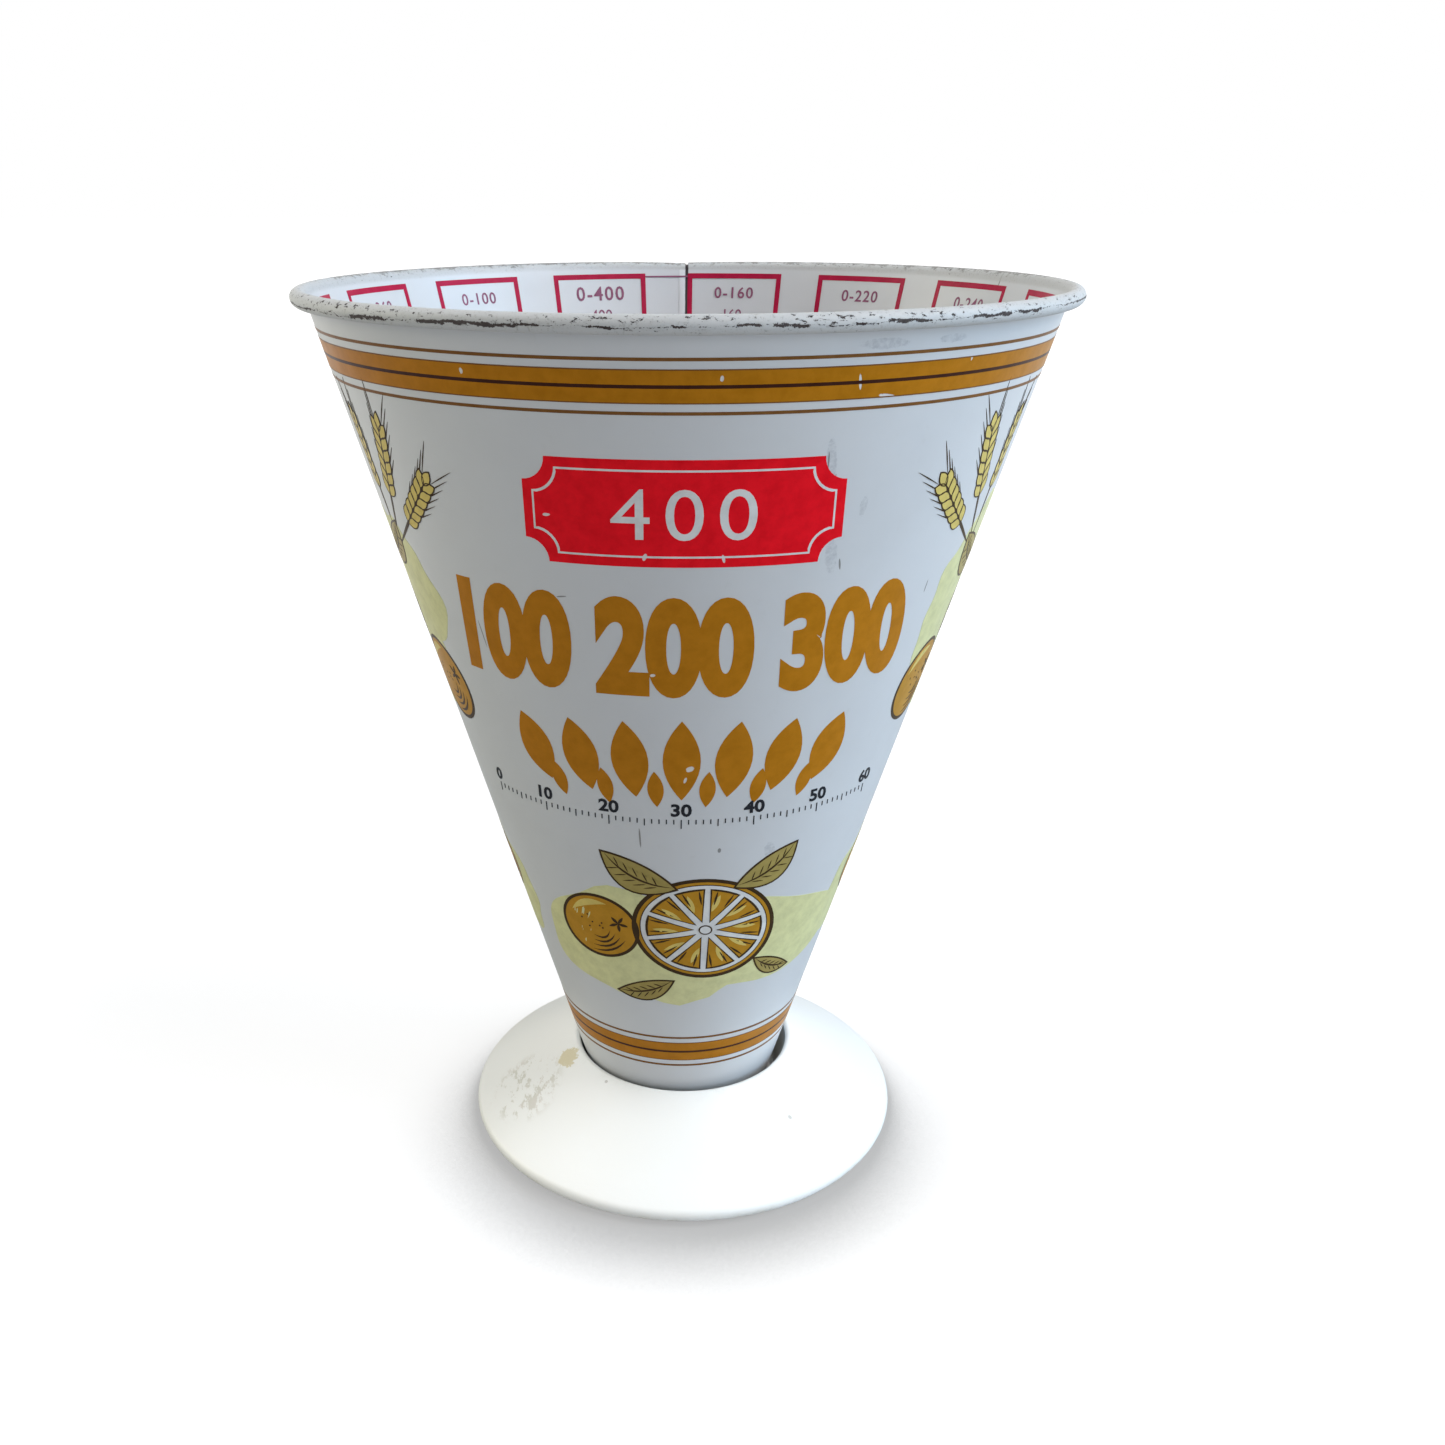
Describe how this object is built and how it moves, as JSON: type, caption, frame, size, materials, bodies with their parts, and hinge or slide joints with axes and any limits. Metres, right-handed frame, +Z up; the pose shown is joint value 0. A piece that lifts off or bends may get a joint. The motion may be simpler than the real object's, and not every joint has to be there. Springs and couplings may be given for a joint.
{
  "type": "kitchen measure",
  "caption": "Tapered sheet metal kitchen measure with a rolled rim and printed scales, standing in a round plastic foot.",
  "frame": {"origin": "on the table, under the middle of the foot", "axes": "+Z up along the cone's axis, -Y towards the front of the print, +Y towards the side seam"},
  "size_m": [0.1076, 0.1076, 0.1326],
  "materials": {
    "printed_tinplate": "satin off-white enamel with printed bands and numbers, chipped along the rim",
    "lacquered_tinplate": "clear-lacquered tin, satin, a little spotted",
    "steel_wire": "drawn, dull",
    "white_plastic": "moulded, satin, a little stained"
  },
  "bodies": {
    "stand": {"foot": "white_plastic"},
    "measure": {"cone_wall": "printed_tinplate", "cone_cap": "lacquered_tinplate", "rim_wire": "steel_wire"}
  },
  "joints": [
    {"name": "cone_lift", "type": "slide", "parent": "stand", "child": "measure", "axis": [0, 0, 1], "range_m": [0, 0.03]}
  ]
}
